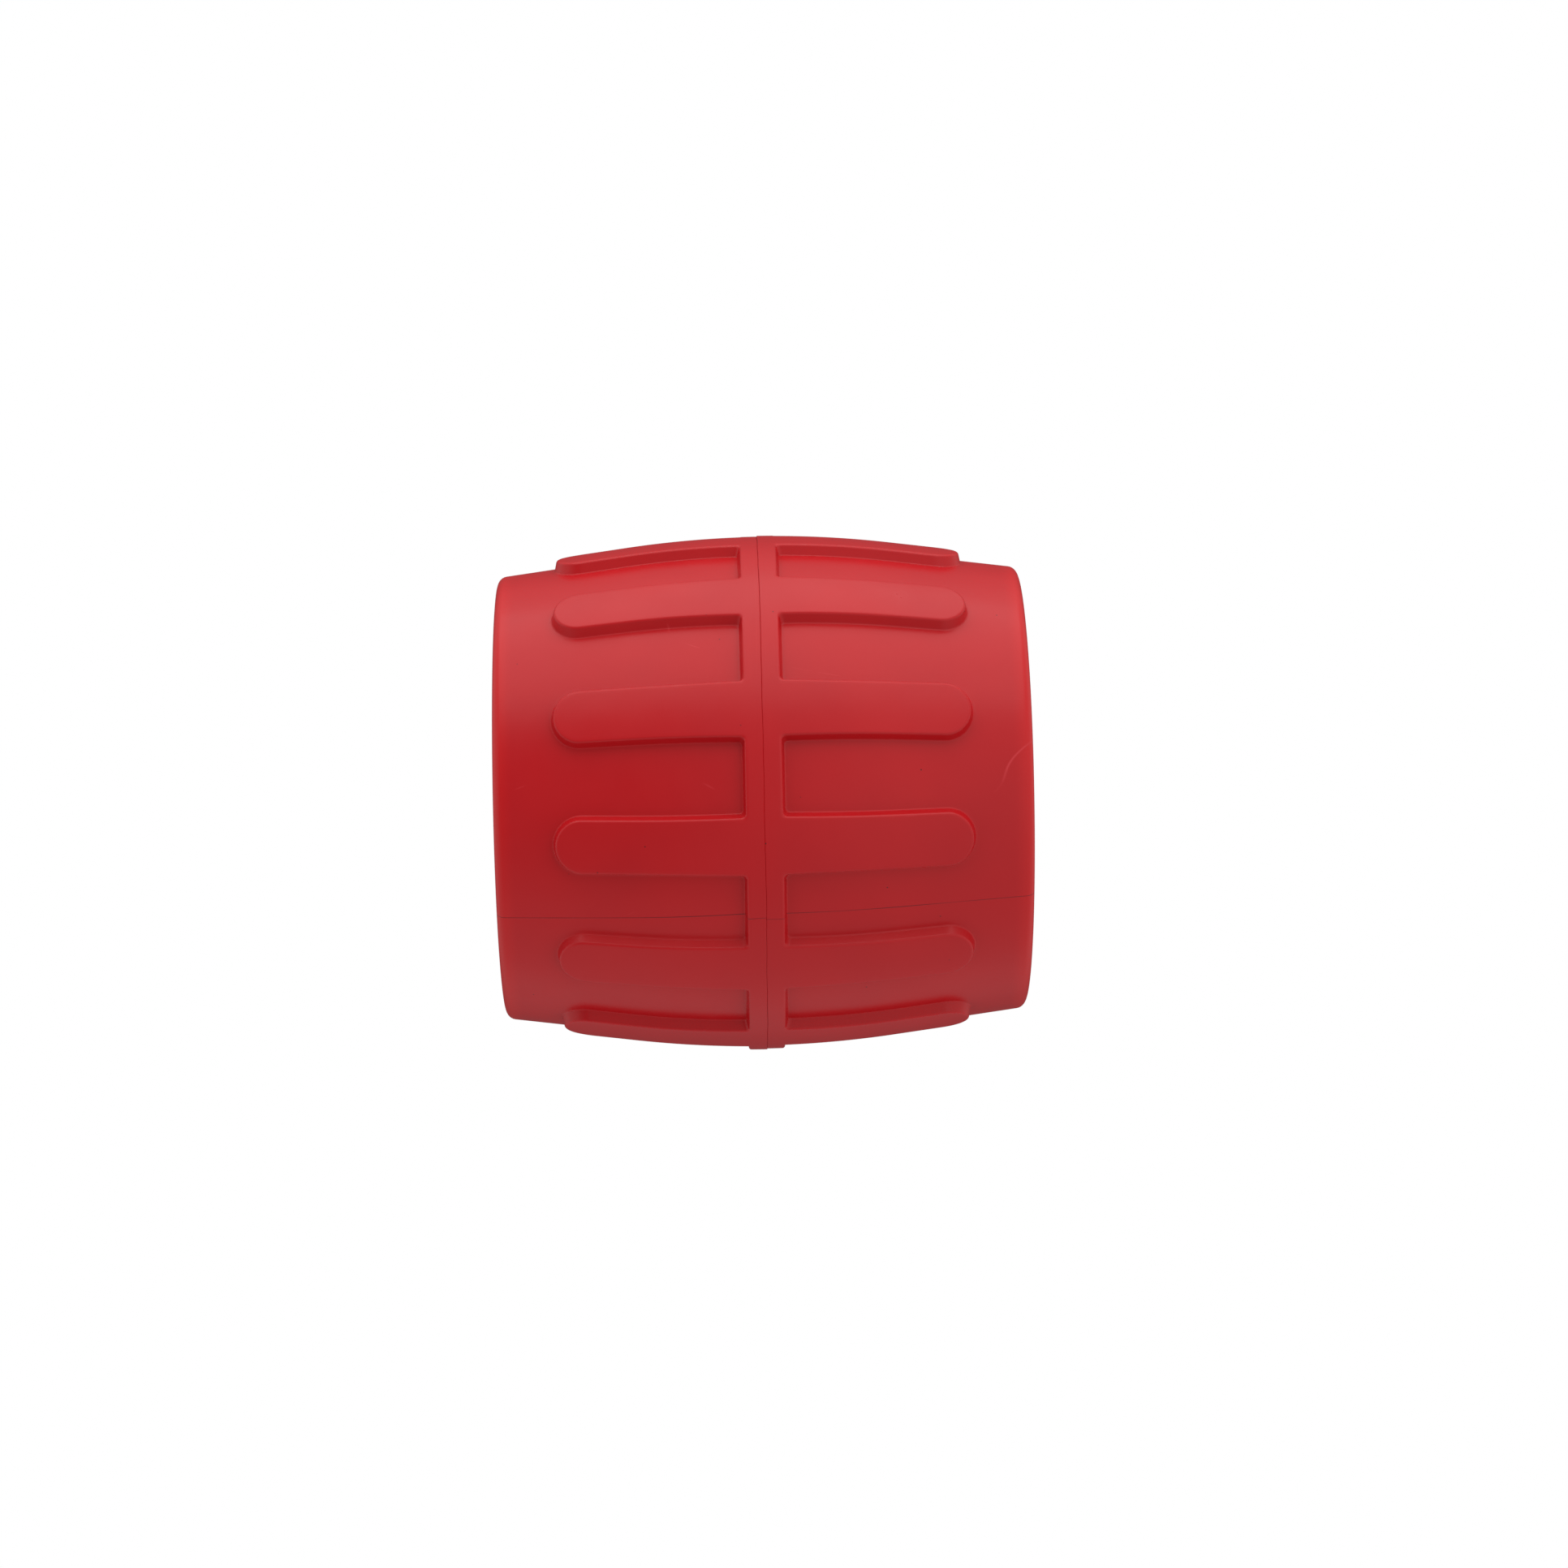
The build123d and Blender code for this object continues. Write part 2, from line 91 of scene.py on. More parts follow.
rib_taper = asin(
    (rib_half_width_at_band - rib_half_width_at_tip) / (rib_half_length - rib_half_width_at_tip)
)
tip_centre = rib_half_length - rib_half_width_at_tip


def barrel(offset, z):
    """The radius, at height z from the drum's middle, of the skin moved out by offset."""
    bend = belly_radius + offset
    z_tangent = bend * sin(belly_angle)
    if z <= z_tangent:
        return skin_middle_radius - belly_radius + (bend**2 - z**2) ** 0.5
    return skin_middle_radius - belly_radius + bend * cos(belly_angle) - (z - z_tangent) * tan(belly_angle)


def pattern_point(stretch, f, out, sink):
    """A point on the raised pattern, as (angle, radius, height), for one half of one rib. It lies on the
    band's edge, the corner, the rib's side or its tip, a fraction f along it, moved out by a distance,
    and sunk from the crest, 0, to the skin, 1."""
    corner_z = band_half_width + out + corner_round
    corner_y = (rib_half_width_at_band + out + corner_round - corner_z * sin(rib_taper)) / cos(rib_taper)
    tip_radius = rib_half_width_at_tip + out
    if stretch == "band":
        z = band_half_width + out
        radius = barrel(rib_rise, z) * (1 - sink) + barrel(0, z) * sink
        return half_pitch + f * (asin(corner_y / radius) - half_pitch), radius, z
    if stretch == "corner":
        turn = radians(-90) - f * (radians(90) - rib_taper)
        y, z = corner_y + corner_round * cos(turn), corner_z + corner_round * sin(turn)
    elif stretch == "side":
        start = Vector((corner_y - corner_round * cos(rib_taper), corner_z - corner_round * sin(rib_taper)))
        end = Vector((tip_radius * cos(rib_taper), tip_centre + tip_radius * sin(rib_taper)))
        y, z = start.lerp(end, f)
    else:
        turn = rib_taper + f * (radians(90) - rib_taper)
        y, z = tip_radius * cos(turn), tip_centre + tip_radius * sin(turn)
        if f == 1:
            y = 0
    radius = barrel(rib_rise, z) * (1 - sink) + barrel(0, z) * sink
    return asin(y / radius), radius, z


def edge_shift(stretch, f):
    """How far the crest's edge lies outside the rib's plan, which the draft widens below the crest."""
    out = 0
    for _ in range(6):
        angle, radius, _ = pattern_point(stretch, f, out, 0)
        flat = {"band": 0, "corner": f}.get(stretch, 1)
        out = (crest_radius - radius * cos(angle) ** flat) * tan(draft)
    return out


# Columns run across the pattern's edge, from the rib's or the band's middle out to the valley or rim
stretches = [("band", 9), ("corner", 10), ("side", 30), ("tip", 22)]
columns = [(name, k / count) for name, count in stretches for k in range(count)] + [("tip", 1)]
shifts = [edge_shift(*column) for column in columns]

# Rows: the crest's rounded edge, the drafted side and the small round at its foot
edge_tangent = edge_round / tan(radians(45) + draft / 2)
foot_tangent = foot_round / tan(radians(45) + draft / 2)
side_slope = radians(90) - draft
edge_arc = [side_slope * k / 6 for k in range(7)]
foot_arc = [side_slope * k / 4 for k in range(4, -1, -1)]
foot_out = rib_rise * tan(draft) + foot_tangent
edge_rows = [
    *[(edge_round * sin(a) - edge_tangent, edge_round * (1 - cos(a)) / rib_rise) for a in edge_arc],
    *[(foot_out - foot_round * sin(a), 1 - foot_round * (1 - cos(a)) / rib_rise) for a in foot_arc],
]
# Further rows fill the crest and the valley, closest together near the pattern's edge. On the crest, the
# columns up to corner_split of the way round the corner end on the weld's line, the rest mid-rib
crest_steps = [0.12, 0.3, 0.5, 0.75, 1]
valley_steps = [0.05, 0.13, 0.25, 0.4, 0.58, 0.78, 1]
corner_split = 0.6
crest_side_start = 4 * corner_round
crest_tip_reach = 0.55 * rib_half_width_at_tip
valley_corner_reach = 2 * corner_round
valley_side_overrun = 4 * mm

# The rim's tangent point, where the barrel ends
rim_corner_radius = barrel(0, half_height)
rim_tangent = rim_round * tan(radians(45) - belly_angle / 2)
rim_start = half_height - rim_tangent * cos(belly_angle)


def crest_target(index):
    """Where a column starts on the crest, as (angle, height)."""
    stretch, f = columns[index]
    if stretch == "band":
        return pattern_point(stretch, f, shifts[index] - edge_tangent, 0)[0], 0
    corner_angle = pattern_point("corner", 0, shifts[index] - edge_tangent, 0)[0]
    if stretch == "corner":
        if f < corner_split:
            return corner_angle * (1 - f / corner_split), 0
        return 0, (f - corner_split) / (1 - corner_split) * crest_side_start
    if stretch == "side":
        return 0, crest_side_start * (1 - f) + tip_centre * f
    return 0, tip_centre + f * crest_tip_reach


def valley_target(index):
    """Where a column ends, in the middle of the valley or at the rim, as (angle, height)."""
    stretch, f = columns[index]
    angle, radius, z = pattern_point(stretch, f, shifts[index] + foot_out, 1)
    corner_width = (half_pitch - pattern_point("corner", 0, shifts[index] + foot_out, 1)[0]) * radius
    if stretch == "band":
        return half_pitch, z + (half_pitch - angle) * radius
    first = band_half_width + foot_out + corner_width
    if stretch == "corner":
        return half_pitch, first + f * valley_corner_reach
    side_end = tip_centre + valley_side_overrun
    side_start = first + valley_corner_reach
    if stretch == "side":
        return half_pitch, side_start + f * (side_end - side_start)
    if f < 0.5:
        return half_pitch, side_end + 2 * f * (rim_start - side_end)
    return half_pitch * (2 - 2 * f), rim_start


def shell_outside():
    """One half's outside up to the rim, as a mesh: half a rib is swept row by row from its edge, then
    mirrored and turned round the drum."""
    bm = bmesh.new()
    column = bm.verts.layers.int.new("column")

    def put(vert, angle, radius, z):
        vert.co = (radius * cos(angle), radius * sin(angle), z)

    def next_row(edges, place):
        made = bmesh.ops.extrude_edge_only(bm, edges=edges)["geom"]
        verts = {v for v in made if isinstance(v, bmesh.types.BMVert)}
        for vert in verts:
            put(vert, *place(vert[column]))
        return [e for e in made if isinstance(e, bmesh.types.BMEdge) and set(e.verts) <= verts]

    def edge_place(out, sink):
        return lambda i: pattern_point(*columns[i], shifts[i] + out, sink)

    def between(place, target, offset, step):
        def placed(i):
            angle, _, z = place(i)
            end_angle, end_z = target(i)
            z += (end_z - z) * step
            return angle + (end_angle - angle) * step, barrel(offset, z), z

        return placed

    chain = []
    first_place = edge_place(*edge_rows[0])
    for index in range(len(columns)):
        vert = bm.verts.new()
        vert[column] = index
        put(vert, *first_place(index))
        chain.append(vert)
    first_edges = [bm.edges.new(pair) for pair in zip(chain, chain[1:])]
    edges = first_edges
    for out, sink in edge_rows[1:]:
        edges = next_row(edges, edge_place(out, sink))
    for step in valley_steps:
        edges = next_row(edges, between(edge_place(*edge_rows[-1]), valley_target, 0, step))
    edges = first_edges
    for step in crest_steps:
        edges = next_row(edges, between(first_place, crest_target, rib_rise, step))
    everything = bm.verts[:] + bm.edges[:] + bm.faces[:]
    bmesh.ops.mirror(bm, geom=everything, matrix=Matrix.Identity(4), merge_dist=0.001 * mm, axis="Y")
    bmesh.ops.spin(
        bm,
        geom=bm.verts[:] + bm.edges[:] + bm.faces[:],
        cent=(0, 0, 0),
        axis=(0, 0, 1),
        angle=2 * pi * (rib_count - 1) / rib_count,
        steps=rib_count - 1,
        use_duplicate=True,
    )
    bmesh.ops.remove_doubles(bm, verts=bm.verts, dist=0.02 * mm)
    bmesh.ops.dissolve_degenerate(bm, edges=bm.edges, dist=0.005 * mm)
    bmesh.ops.rotate(bm, verts=bm.verts, cent=(0, 0, 0), matrix=Matrix.Rotation(rib_first, 3, "Z"))
    return bm


def rounded_path(corners, arc_steps):
    """The points of a path through corners given as (radius, height, rounding)."""
    path = []
    for before, here, after in zip(corners, corners[1:], corners[2:]):
        point, back, on = Vector(here[:2]), Vector(before[:2]), Vector(after[:2])
        to_back, to_on = (back - point).normalized(), (on - point).normalized()
        opening = to_back.angle(to_on)
        if here[2] == 0:
            path.append(point)
            continue
        reach = here[2] / tan(opening / 2)
        centre = point + (to_back + to_on).normalized() * (here[2] / sin(opening / 2))
        start, end = point + to_back * reach - centre, point + to_on * reach - centre
        turn = start.angle_signed(end)
        for k in range(arc_steps + 1):
            path.append(centre + Matrix.Rotation(-turn * k / arc_steps, 2) @ start)
    return path


def end_path():
    """The rest of the half's section: rim, recess, collar, the wall's inside and down to the joint."""
    rim_inner = rim_corner_radius - rim_round - rim_flat_width
    floor = half_height - recess_depth
    floor_edge = rim_inner - recess_depth * tan(recess_draft)
    under = floor - wall
    inside = half_height - wall
    corners = [
        (barrel(0, rim_start), rim_start, 0),
        (rim_corner_radius, half_height, rim_round),
        (rim_inner, half_height, small_round),
        (floor_edge, floor, small_round),
        (collar_radius, floor, small_round),
        (collar_radius, floor + collar_height, collar_edge_round),
        (pipe_hole_radius, floor + collar_height, 0),
        (pipe_hole_radius, under - collar_inner_length, 0),
        (collar_inner_radius, under - collar_inner_length, 0),
        (collar_inner_radius, under, small_round),
        (floor_edge + wall, under, inner_round),
        (rim_inner + wall, inside, inner_round),
        (barrel(-wall, inside), inside, small_round),
        (barrel(-wall, belly_half_length), belly_half_length, 0),
    ]
    down = [belly_half_length * k / 5 for k in range(5, -1, -1)]
    return rounded_path(corners, 7)[1:] + [Vector((barrel(-wall, z), z)) for z in down]


def half_shell():
    """One closed half, end up, with its joint face at z = 0."""
    bm = shell_outside()
    outside_boundary = [e for e in bm.edges if e.is_boundary]
    edges = [e for e in outside_boundary if min(v.co.z for v in e.verts) > rim_start - 0.1 * mm]
    joint_edge = [e for e in outside_boundary if max(v.co.z for v in e.verts) < 0.1 * mm]
    for radius, z in end_path():
        made = bmesh.ops.extrude_edge_only(bm, edges=edges)["geom"]
        verts = {v for v in made if isinstance(v, bmesh.types.BMVert)}
        for vert in verts:
            angle = atan2(vert.co.y, vert.co.x)
            vert.co = (radius * cos(angle), radius * sin(angle), z)
        edges = [e for e in made if isinstance(e, bmesh.types.BMEdge) and set(e.verts) <= verts]
    # The weld's edge is broken, so the two halves meet in a fine groove
    groove = bmesh.ops.extrude_edge_only(bm, edges=joint_edge)["geom"]
    groove_verts = {v for v in groove if isinstance(v, bmesh.types.BMVert)}
    for vert in {v for e in joint_edge for v in e.verts}:
        vert.co.z = weld_groove
    for vert in groove_verts:
        shrink = 1 - weld_groove / crest_radius
        vert.co = (vert.co.x * shrink, vert.co.y * shrink, 0)
    groove_edges = [e for e in groove if isinstance(e, bmesh.types.BMEdge) and set(e.verts) <= groove_verts]
    bmesh.ops.bridge_loops(bm, edges=groove_edges + edges)
    return bm


def weld_height(angle):
    """How far the weld's line strays from the drum's middle at an angle round it: three waves, and
    short jogs up where the melt was pressed out."""
    waver = sin(3 * angle + 1.1) * 0.5 + sin(11 * angle + 0.4) * 0.35 + sin(29 * angle + 2.0) * 0.3
    jog = 0.6 if sin(5 * angle + 0.9) > 0.72 else -0.15
    return weld_waver * (waver + jog)


def finished_half(bm, upper):
    """Puts a half in place and wavers its weld edge."""
    shift = Vector((cos(offset_angle), sin(offset_angle), 0)) * halves_offset / 2
    if not upper:
        bmesh.ops.rotate(bm, verts=bm.verts, cent=(0, 0, 0), matrix=Matrix.Rotation(pi, 3, "X"))
    bmesh.ops.translate(bm, verts=bm.verts, vec=-shift if upper else shift)
    for vert in bm.verts:
        outside = hypot(vert.co.x, vert.co.y) > skin_middle_radius
        if abs(vert.co.z) < band_half_width / 4 and outside:
            vert.co.z += weld_height(atan2(vert.co.y, vert.co.x))
    bmesh.ops.translate(bm, verts=bm.verts, vec=(0, 0, half_height))
    bmesh.ops.recalc_face_normals(bm, faces=bm.faces)
    return bm


def bar(bm, angle, upper):
    """A radial stiffener on the dished floor, its long edges rounded."""
    start = collar_radius - bar_overlap
    end = rim_corner_radius - rim_round - rim_flat_width - bar_end_gap
    made = bmesh.ops.create_cube(bm, size=1)["verts"]
    bmesh.ops.scale(bm, verts=made, vec=(end - start, bar_width, bar_height + bar_overlap))
    top = [e for e in {e for v in made for e in v.link_edges} if min(v.co.z for v in e.verts) > 0]
    rounded = bmesh.ops.bevel(
        bm,
        geom=top,
        offset=bar_edge_round,
        offset_type="OFFSET",
        segments=3,
        profile=0.5,
        affect="EDGES",
        material=-1,
    )
    verts = list({v for v in made if v.is_valid} | set(rounded["verts"]))
    centre_height = half_height * 2 - recess_depth + (bar_height - bar_overlap) / 2
    place = Matrix.Rotation(angle, 4, "Z") @ Matrix.Translation(((start + end) / 2, 0, centre_height))
    if not upper:
        place = Matrix.Translation((0, 0, 2 * half_height)) @ Matrix.Rotation(pi, 4, "X") @ place
    bmesh.ops.transform(bm, matrix=place, verts=verts)


smooth_limit = radians(35)
hole_facets = 96


def smoothed_into(bm, mesh):
    """Fills a mesh from a finished bmesh, smooth but for its sharp edges."""
    for face in bm.faces:
        face.smooth = True
    for edge in bm.edges:
        edge.smooth = edge.calc_face_angle(0) < smooth_limit
    bm.to_mesh(mesh)
    bm.free()


def made_piece(name, bm):
    """An object from a finished bmesh."""
    mesh = bpy.data.meshes.new(name)
    smoothed_into(bm, mesh)
    piece = bpy.data.objects.new(name, mesh)
    bpy.context.scene.collection.objects.link(piece)
    return piece


def drilled(piece, place, radius, depth):
    """Cuts a round hole through a piece, along place's own Z axis."""
    bm = bmesh.new()
    bmesh.ops.create_cone(
        bm, cap_ends=True, segments=hole_facets, radius1=radius, radius2=radius, depth=depth, matrix=place
    )
    cutter = made_piece("cutter", bm)
    cut = piece.modifiers.new("hole", "BOOLEAN")
    cut.object = cutter
    cut.solver = "EXACT"
    done = bpy.data.meshes.new_from_object(piece.evaluated_get(bpy.context.evaluated_depsgraph_get()))
    piece.modifiers.clear()
    piece.data = done
    bpy.data.objects.remove(cutter)


neck_low, neck_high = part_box("filler_neck")
neck_middle_y = (neck_low.y + neck_high.y) / 2
neck_place = Matrix.Translation((0, neck_middle_y, 2 * half_height - recess_depth - wall / 2))
neck_hole_radius = 40.3 * mm
drain_low, drain_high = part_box("drain_socket")
drain_height = (drain_low.z + drain_high.z) / 2
drain_flange_height = 3 * mm
boss_face = drain_high.y - drain_flange_height
boss_radius = 31 * mm
boss_edge_round = 1.5 * mm
boss_overlap = 2 * mm
socket_hole_radius = 21.3 * mm
socket_hole_depth = 30 * mm
cutter_overshoot = 5 * mm
drain_place = Matrix.Translation((0, boss_face, drain_height)) @ Matrix.Rotation(radians(-90), 4, "X")
hole_place = drain_place @ Matrix.Translation((0, 0, cutter_overshoot - socket_hole_depth / 2))


def drain_boss(bm):
    """The thick ring round the drain's hole, from the wall out to a flat face for the socket's flange."""
    depth = boss_face - barrel(-wall / 2, half_height - drain_height) + boss_overlap
    eased = boss_edge_round * (1 - cos(radians(45)))
    rows = [
        (boss_radius - boss_edge_round, 0),
        (boss_radius - eased, -eased),
        (boss_radius, -boss_edge_round),
        (boss_radius, -depth),
        (socket_hole_radius, -depth),
    ]
    ring = bmesh.ops.create_circle(
        bm, cap_ends=False, segments=hole_facets, radius=socket_hole_radius, matrix=drain_place
    )["verts"]
    first_loop = list({e for v in ring for e in v.link_edges})
    loop = first_loop
    to_drain = drain_place.inverted()
    for radius, height in rows:
        made = bmesh.ops.extrude_edge_only(bm, edges=loop)["geom"]
        verts = {v for v in made if isinstance(v, bmesh.types.BMVert)}
        for vert in verts:
            local = to_drain @ vert.co
            local.xy = local.xy.normalized() * radius
            local.z = height
            vert.co = drain_place @ local
        loop = [e for e in made if isinstance(e, bmesh.types.BMEdge) and set(e.verts) <= verts]
    bmesh.ops.bridge_loops(bm, edges=loop + first_loop)
    bmesh.ops.recalc_face_normals(bm, faces=bm.faces)


upper_shell = made_piece("upper_shell_moulding", finished_half(half_shell(), True))
drilled(upper_shell, neck_place, neck_hole_radius, 4 * wall)
lower_shell = made_piece("lower_shell_moulding", finished_half(half_shell(), False))
drilled(lower_shell, hole_place, socket_hole_radius, socket_hole_depth)

for shell, upper in ((upper_shell, True), (lower_shell, False)):
    bm = bmesh.new()
    bm.from_mesh(shell.data)
    for k in range(bar_count):
        bar(bm, 2 * pi * k / bar_count, upper)
    if not upper:
        drain_boss(bm)
    smoothed_into(bm, shell.data)


def linear(hex_colour):
    """An sRGB hex colour as linear red, green, blue and alpha."""
    parts = [int(hex_colour[k : k + 2], 16) / 255 for k in (1, 3, 5)]
    return (*[c / 12.92 if c <= 0.04045 else ((c + 0.055) / 1.055) ** 2.4 for c in parts], 1)


def add_node(tree, kind, settings=None, **inputs):
    """Adds a node with its settings; an input is a value, or an output to link from."""
    node = tree.nodes.new(kind)
    for name, value in (settings or {}).items():
        setattr(node, name, value)
    for name, value in inputs.items():
        numbered = name[0] == "i" and name[1:].isdigit()
        socket = node.inputs[int(name[1:]) if numbered else name.replace("_", " ")]
        if isinstance(value, bpy.types.NodeSocket):
            tree.links.new(value, socket)
        else:
            socket.default_value = value
    return node


def new_material(name, colour, roughness, ior=1.5, metallic=0, specular=0.5):
    """A material with its shader set from constants; returns it with its tree and shader."""
    material = bpy.data.materials.new(name)
    material.use_nodes = True
    shader = material.node_tree.nodes["Principled BSDF"]
    shader.inputs["Base Color"].default_value = linear(colour)
    shader.inputs["Roughness"].default_value = roughness
    shader.inputs["IOR"].default_value = ior
    shader.inputs["Metallic"].default_value = metallic
    shader.inputs["Specular IOR Level"].default_value = specular
    return material, material.node_tree, shader


# High-density polyethylene, moulded in a polished tool: a deep red with a soft satin shine, slightly
# uneven where the sheet drew down. A fine line runs along each half where the tool's jaws met, a little
# askew on the lower half. Hair-thin rub marks show pale, and a few dust specks dark.
red_plastic, tree, shader = new_material("moulded_red_polyethylene", "#CC141B", 0.34, specular=0.3)
jaw_line_upper = radians(-58.5)
jaw_line_band = radians(-58.9)
jaw_line_rim = radians(-55.2)
jaw_line_half_width = 0.45 * mm / crest_radius
rub_spacing = 150 * mm
rub_width = 0.0025
speck_spacing = 26 * mm
speck_radius = 1.1 * mm
speck_draw = 0.72
# How far the rims are painted lighter and warmer, a painted highlight
rim_painted_highlight = 0.3
sink_mm = 0.6
grain_mm = 0.012
jaw_line_mm = 0.12
place = add_node(tree, "ShaderNodeTexCoord").outputs["Object"]
parts = add_node(tree, "ShaderNodeSeparateXYZ", Vector=place)
angle = add_node(
    tree, "ShaderNodeMath", {"operation": "ARCTAN2"}, i0=parts.outputs["Y"], i1=parts.outputs["X"]
)
lower_line = add_node(
    tree,
    "ShaderNodeMapRange",
    Value=parts.outputs["Z"],
    From_Min=0.0,
    From_Max=half_height,
    To_Min=jaw_line_rim,
    To_Max=jaw_line_band,
)
on_upper = add_node(
    tree, "ShaderNodeMath", {"operation": "GREATER_THAN"}, i0=parts.outputs["Z"], i1=half_height
)
jaw_line = add_node(
    tree,
    "ShaderNodeMath",
    {"operation": "MULTIPLY_ADD"},
    i0=on_upper.outputs[0],
    i1=jaw_line_upper - jaw_line_band,
    i2=lower_line.outputs["Result"],
)
off_line = add_node(
    tree, "ShaderNodeMath", {"operation": "SUBTRACT"}, i0=angle.outputs[0], i1=jaw_line.outputs[0]
)
# The tool has two jaws, so the line comes again half a turn on
nearest = add_node(tree, "ShaderNodeMath", {"operation": "PINGPONG"}, i0=off_line.outputs[0], i1=pi / 2)
line = add_node(
    tree,
    "ShaderNodeMapRange",
    Value=nearest.outputs[0],
    From_Min=jaw_line_half_width * 0.6,
    From_Max=jaw_line_half_width * 1.6,
    To_Min=1.0,
    To_Max=0.0,
)
strength = add_node(tree, "ShaderNodeTexNoise", Vector=place, Scale=1 / (110 * mm), Detail=1.0)
line_strength = add_node(
    tree,
    "ShaderNodeMapRange",
    Value=strength.outputs["Fac"],
    From_Min=0.35,
    From_Max=0.6,
    To_Min=0.3,
    To_Max=0.9,
)
jaw = add_node(
    tree,
    "ShaderNodeMath",
    {"operation": "MULTIPLY"},
    i0=line.outputs["Result"],
    i1=line_strength.outputs["Result"],
)
# Rub marks: the level lines of a slow noise, kept only in patches
drawn_out = add_node(tree, "ShaderNodeMapping", Vector=place, Scale=(1, 1, 0.3))
swirl = add_node(tree, "ShaderNodeTexNoise", Vector=drawn_out.outputs[0], Scale=1 / rub_spacing, Detail=0.0)
from_level = add_node(tree, "ShaderNodeMath", {"operation": "SUBTRACT"}, i0=swirl.outputs["Fac"], i1=0.5)
rub_distance = add_node(tree, "ShaderNodeMath", {"operation": "ABSOLUTE"}, i0=from_level.outputs[0])
rub_line = add_node(
    tree,
    "ShaderNodeMapRange",
    Value=rub_distance.outputs[0],
    From_Min=0.0,
    From_Max=rub_width,
    To_Min=1.0,
    To_Max=0.0,
)
patch = add_node(tree, "ShaderNodeTexNoise", Vector=place, Scale=1 / (70 * mm), Detail=2.0)
rub_patch = add_node(tree, "ShaderNodeMapRange", Value=patch.outputs["Fac"], From_Min=0.6, From_Max=0.68)
rub = add_node(
    tree,
    "ShaderNodeMath",
    {"operation": "MULTIPLY"},
    i0=rub_line.outputs["Result"],
    i1=rub_patch.outputs["Result"],
)
# Dust specks: one in a few cells of a coarse pattern
cells = add_node(tree, "ShaderNodeTexVoronoi", Vector=place, Scale=1 / speck_spacing)
speck_size = speck_radius / speck_spacing
near_cell = add_node(
    tree,
    "ShaderNodeMapRange",
    Value=cells.outputs["Distance"],
    From_Min=speck_size * 0.5,
    From_Max=speck_size,
    To_Min=1.0,
    To_Max=0.0,
)
cell_draw = add_node(tree, "ShaderNodeSeparateXYZ", Vector=cells.outputs["Color"])
chosen = add_node(
    tree, "ShaderNodeMath", {"operation": "GREATER_THAN"}, i0=cell_draw.outputs["X"], i1=speck_draw
)
speck = add_node(
    tree, "ShaderNodeMath", {"operation": "MULTIPLY"}, i0=near_cell.outputs["Result"], i1=chosen.outputs[0]
)
cloud = add_node(tree, "ShaderNodeTexNoise", Vector=place, Scale=1 / (110 * mm), Detail=3.0, Roughness=0.5)
tone = add_node(
    tree,
    "ShaderNodeMix",
    {"data_type": "RGBA"},
    i0=cloud.outputs["Fac"],
    i6=linear("#B41018"),
    i7=linear("#C2141A"),
)
# The rims are painted a little lighter and warmer: a painted highlight that stands in for the bright edge
# the light gives them
from_middle = add_node(
    tree, "ShaderNodeMath", {"operation": "SUBTRACT"}, i0=parts.outputs["Z"], i1=half_height
)
end_distance = add_node(tree, "ShaderNodeMath", {"operation": "ABSOLUTE"}, i0=from_middle.outputs[0])
rim_highlight_mask = add_node(
    tree,
    "ShaderNodeMapRange",
    {"interpolation_type": "SMOOTHSTEP"},
    Value=end_distance.outputs[0],
    From_Min=half_height - 2.2 * rim_round,
    From_Max=half_height - 0.5 * rim_round,
    To_Max=rim_painted_highlight,
)
rim_highlighted = add_node(
    tree,
    "ShaderNodeMix",
    {"data_type": "RGBA"},
    i0=rim_highlight_mask.outputs["Result"],
    i6=tone.outputs[2],
    i7=linear("#DC1C1A"),
)
rubbed = add_node(
    tree,
    "ShaderNodeMix",
    {"data_type": "RGBA"},
    i0=rub.outputs[0],
    i6=rim_highlighted.outputs[2],
    i7=linear("#CC3238"),
)
lined = add_node(
    tree,
    "ShaderNodeMix",
    {"data_type": "RGBA"},
    i0=jaw.outputs[0],
    i6=rubbed.outputs[2],
    i7=linear("#6E0B12"),
)
specked = add_node(
    tree,
    "ShaderNodeMix",
    {"data_type": "RGBA"},
    i0=speck.outputs[0],
    i6=lined.outputs[2],
    i7=linear("#5A1214"),
)
tree.links.new(specked.outputs[2], shader.inputs["Base Color"])
drawn = add_node(tree, "ShaderNodeTexNoise", Vector=place, Scale=1 / (45 * mm), Detail=4.0, Roughness=0.55)
sheen = add_node(tree, "ShaderNodeMapRange", Value=drawn.outputs["Fac"], To_Min=0.24, To_Max=0.38)
tree.links.new(sheen.outputs["Result"], shader.inputs["Roughness"])
# Bump heights in mm: a slow sink, a fine grain, and the jaws' line standing a hair proud
sink = add_node(tree, "ShaderNodeTexNoise", Vector=place, Scale=1 / (60 * mm), Detail=1.0)
grain = add_node(tree, "ShaderNodeTexNoise", Vector=place, Scale=1 / (2.5 * mm), Detail=2.0)
grain_height = add_node(
    tree, "ShaderNodeMath", {"operation": "MULTIPLY"}, i0=grain.outputs["Fac"], i1=grain_mm
)
uneven = add_node(
    tree,
    "ShaderNodeMath",
    {"operation": "MULTIPLY_ADD"},
    i0=sink.outputs["Fac"],
    i1=sink_mm,
    i2=grain_height.outputs[0],
)
surface = add_node(
    tree,
    "ShaderNodeMath",
    {"operation": "MULTIPLY_ADD"},
    i0=jaw.outputs[0],
    i1=jaw_line_mm,
    i2=uneven.outputs[0],
)
bump = add_node(tree, "ShaderNodeBump", Strength=1.0, Distance=mm, Height=surface.outputs[0])
tree.links.new(bump.outputs["Normal"], shader.inputs["Normal"])
for shell, node in ((upper_shell, "upper_shell"), (lower_shell, "lower_shell")):
    shell.data.materials.clear()
    shell.data.materials.append(red_plastic)
    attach(shell, "drum")
    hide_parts(node)


